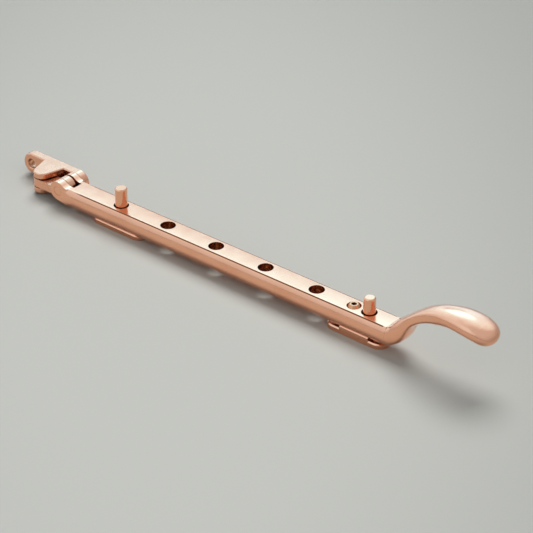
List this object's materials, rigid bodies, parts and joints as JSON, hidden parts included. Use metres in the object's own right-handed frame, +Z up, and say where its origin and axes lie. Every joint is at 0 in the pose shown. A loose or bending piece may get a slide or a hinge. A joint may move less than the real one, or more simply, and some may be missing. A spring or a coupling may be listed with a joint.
{
  "type": "casement stay",
  "caption": "Locking casement stay: bar with peg holes and a spoon end, pivoted on a sash bracket, resting on peg plates.",
  "frame": {"origin": "centre of the bracket's mounting face, where it lies on the sash", "axes": "+X along the closed bar from the bracket to the spoon, +Y into the sash, +Z up"},
  "size_m": [0.2467, 0.0172, 0.0296],
  "materials": {
    "rose_gold": "polished rose gold plate over brass"
  },
  "bodies": {
    "bracket": {"bracket": "rose_gold", "swing_pin": "rose_gold"},
    "knuckle": {"knuckle_block": "rose_gold"},
    "bar": {"stay_bar": "rose_gold", "lift_pin": "rose_gold"},
    "locking_screw": {"locking_screw": "rose_gold"},
    "plain_peg": {"plain_peg_plate": "rose_gold", "plain_peg": "rose_gold"},
    "locking_peg": {"locking_peg_plate": "rose_gold", "locking_peg": "rose_gold"}
  },
  "joints": [
    {"name": "swing", "type": "hinge", "parent": "bracket", "child": "knuckle", "pos_m": [0.0005, -0.0103, 0], "axis": [0, 0, -1], "range_deg": [0, 180]},
    {"name": "lift", "type": "hinge", "parent": "knuckle", "child": "bar", "pos_m": [0.0141, -0.0103, 0.0018], "axis": [0, -1, 0], "range_deg": [0, 110]},
    {"name": "screw_travel", "type": "slide", "parent": "bar", "child": "locking_screw", "axis": [0.0115, 0, -0.9999], "range_m": [0, 0.0025]},
    {"name": "plain_peg_release", "type": "slide", "parent": "bar", "child": "plain_peg", "axis": [0, 0, -1], "range_m": [0, 0.018]},
    {"name": "locking_peg_release", "type": "slide", "parent": "bar", "child": "locking_peg", "axis": [0, 0, -1], "range_m": [0, 0.018]}
  ]
}
